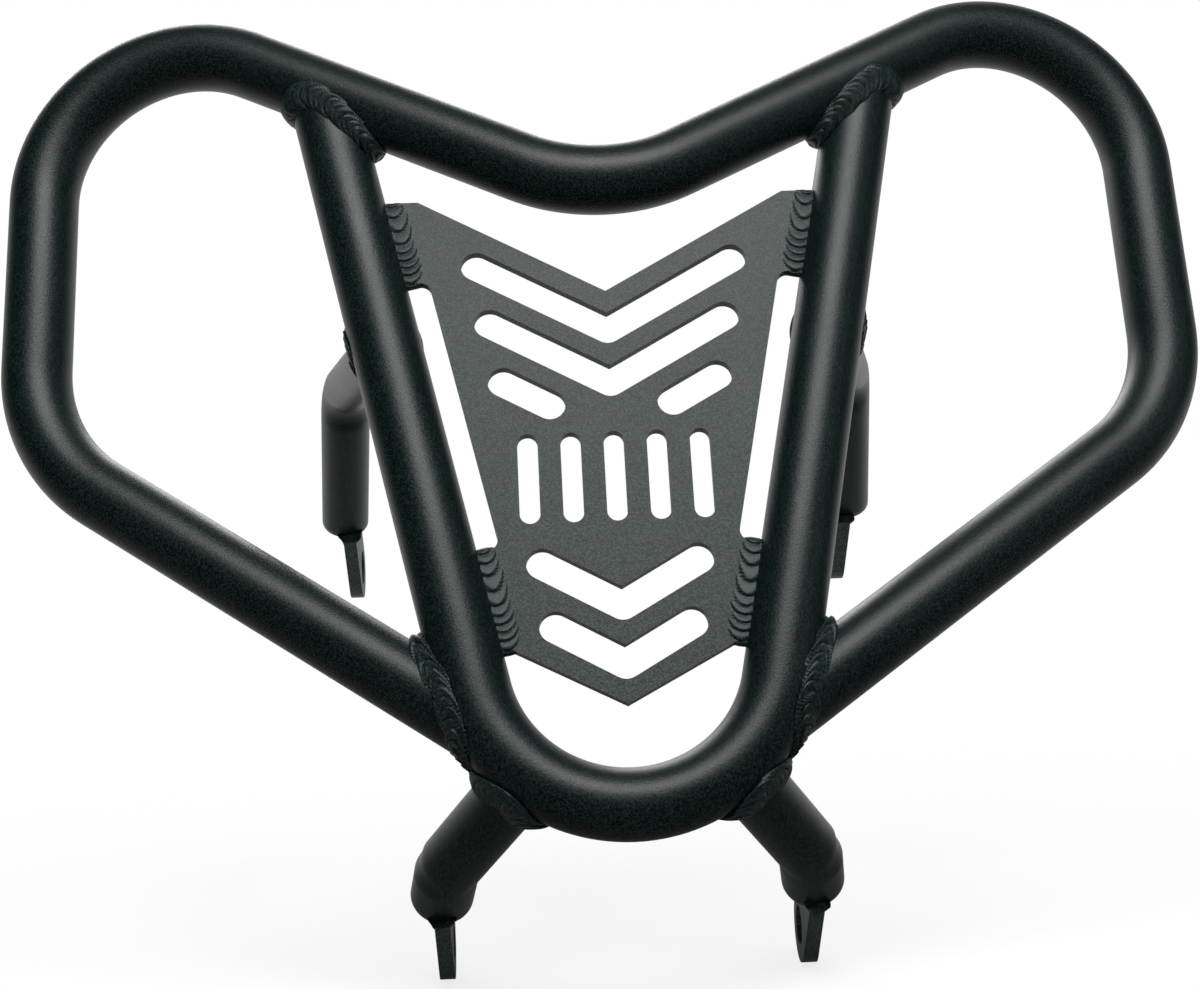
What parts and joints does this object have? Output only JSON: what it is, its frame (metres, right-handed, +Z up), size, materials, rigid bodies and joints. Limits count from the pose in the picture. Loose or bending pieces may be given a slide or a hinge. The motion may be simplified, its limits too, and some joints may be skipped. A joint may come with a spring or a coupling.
{
  "type": "quad bike front bumper",
  "caption": "Welded tubular front bumper for a quad bike: wing-shaped outer hoop, U-shaped inner tube, slotted chevron plate, and struts with drilled mounting tabs.",
  "frame": {"origin": "on the common axis of the two lower mounting holes, midway between the lower tabs", "axes": "+X to the right when looking at the front, along the mounting holes; +Y towards the vehicle; +Z up"},
  "size_m": [0.5558, 0.3566, 0.4545],
  "materials": {
    "tube_paint": "satin black powder coat",
    "plate_paint": "matt black powder coat",
    "weld_paint": "satin black powder coat over weld beads"
  },
  "bodies": {
    "root": {"outer_hoop": "tube_paint", "u_tube": "tube_paint", "centre_plate": "plate_paint", "upper_strut_right": "tube_paint", "upper_tab_right": "plate_paint", "upper_strut_weld_right": "weld_paint", "upper_end_weld_right": "weld_paint", "upper_plate_weld_right": "weld_paint", "lower_strut_right": "tube_paint", "lower_tab_right": "plate_paint", "lower_strut_weld_right": "weld_paint", "lower_end_weld_right": "weld_paint", "lower_plate_weld_right": "weld_paint", "hoop_top_weld_right": "weld_paint", "hoop_end_weld_right": "weld_paint", "upper_strut_left": "tube_paint", "upper_tab_left": "plate_paint", "upper_strut_weld_left": "weld_paint", "upper_end_weld_left": "weld_paint", "upper_plate_weld_left": "weld_paint", "lower_strut_left": "tube_paint", "lower_tab_left": "plate_paint", "lower_strut_weld_left": "weld_paint", "lower_end_weld_left": "weld_paint", "lower_plate_weld_left": "weld_paint", "hoop_top_weld_left": "weld_paint", "hoop_end_weld_left": "weld_paint"}
  },
  "joints": []
}
